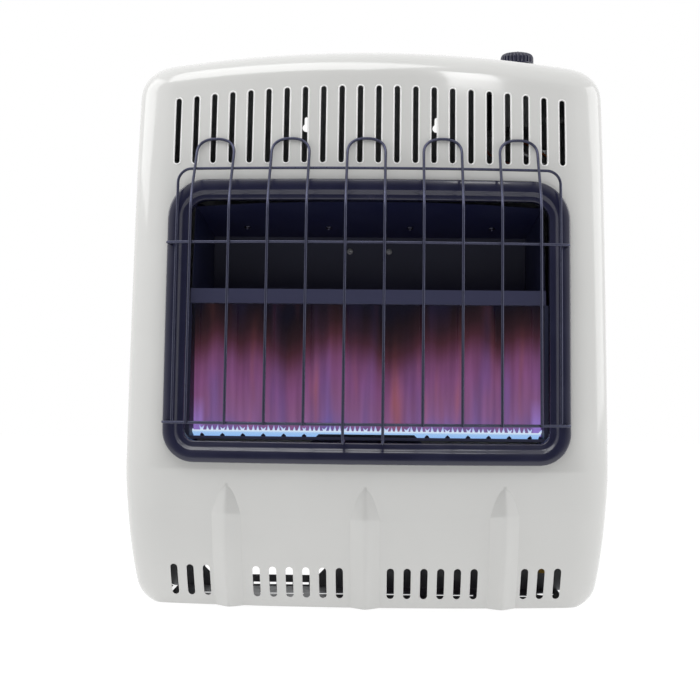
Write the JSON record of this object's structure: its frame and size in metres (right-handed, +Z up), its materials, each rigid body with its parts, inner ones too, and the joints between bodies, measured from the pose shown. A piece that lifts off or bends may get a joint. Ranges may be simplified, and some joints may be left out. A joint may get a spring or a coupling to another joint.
{
  "type": "vent-free blue flame gas heater",
  "caption": "Wall-hung gas heater: a wrapped enamelled casing with slots, a glass-fronted burner behind a wire guard, a hot-air outlet and a push-and-turn control knob on top.",
  "frame": {"origin": "centre of the whole object's plan at floor level, under the casing", "axes": "+X to the right seen from the front, +Y to the wall behind, -Y out of the front, +Z up"},
  "size_m": [0.597, 0.286, 0.7124],
  "materials": {
    "white_enamel": "satin baked enamel",
    "dark_enamel": "glossy baked enamel",
    "firebox_steel": "heat-resistant coating",
    "zinc_steel": "zinc plated",
    "aluminised_steel": "dull aluminised",
    "bright_screws": "bright plated",
    "guard_wire": "bright plated wire",
    "brass_fittings": "machined",
    "cast_aluminium": "die cast",
    "aluminium_tube": "drawn",
    "copper_lead": "drawn copper",
    "knob_plastic": "satin moulded",
    "igniter_plastic": "moulded",
    "wire_insulation": "silicone",
    "white_ceramic": "glazed",
    "clear_glass": "heat-resistant glass"
  },
  "bodies": {
    "heater": {"front_casing": "white_enamel", "back_panel": "zinc_steel", "base_pan": "zinc_steel", "window_bezel": "dark_enamel", "glass_panel": "clear_glass", "glass_bottom_rail": "dark_enamel", "glass_top_rail": "dark_enamel", "glass_clip_left": "firebox_steel", "glass_clip_right": "firebox_steel", "firebox_left_side": "firebox_steel", "firebox_right_side": "firebox_steel", "firebox_back": "firebox_steel", "hot_air_deflector": "firebox_steel", "deflector_screw_1": "bright_screws", "deflector_screw_2": "bright_screws", "deflector_screw_3": "bright_screws", "deflector_screw_4": "bright_screws", "firebox_screw_1": "zinc_steel", "firebox_screw_2": "zinc_steel", "upper_heat_shield": "aluminised_steel", "burner_tray": "aluminised_steel", "burner_port_strip": "aluminised_steel", "burner_bracket_left": "zinc_steel", "burner_bracket_right": "zinc_steel", "venturi_tube": "zinc_steel", "injector_holder": "brass_fittings", "gas_injector": "brass_fittings", "pilot_bracket": "firebox_steel", "pilot_burner": "brass_fittings", "thermocouple": "zinc_steel", "ignition_electrode": "white_ceramic", "gas_valve": "cast_aluminium", "valve_bracket": "zinc_steel", "piezo_igniter": "igniter_plastic", "pressure_regulator": "cast_aluminium", "inlet_fitting": "brass_fittings", "regulator_bracket": "zinc_steel", "inlet_tube": "aluminium_tube", "main_gas_tube": "aluminium_tube", "thermocouple_lead": "copper_lead", "pilot_tube": "aluminium_tube", "ignition_wire": "wire_insulation", "guard_hoop_1": "guard_wire", "guard_hoop_2": "guard_wire", "guard_hoop_3": "guard_wire", "guard_hoop_4": "guard_wire", "guard_hoop_5": "guard_wire", "guard_frame_wire": "guard_wire", "guard_middle_wire": "guard_wire", "guard_low_wire": "guard_wire", "casing_screw_1": "zinc_steel", "casing_screw_2": "zinc_steel", "casing_screw_3": "zinc_steel", "casing_screw_4": "zinc_steel"},
    "push_plunger": {"valve_plunger": "brass_fittings"},
    "turning_control": {"control_knob": "knob_plastic", "valve_stem": "zinc_steel"}
  },
  "joints": [
    {"name": "knob_push", "type": "slide", "parent": "heater", "child": "push_plunger", "axis": [0, 0, 1], "range_m": [-0.004, 0], "stiffness_N_per_m": 1200, "springref_m": 0.003},
    {"name": "knob_turn", "type": "hinge", "parent": "push_plunger", "child": "turning_control", "pos_m": [0.1905, 0.075, 0.69], "axis": [0, 0, 1], "range_deg": [-270, 0]}
  ]
}
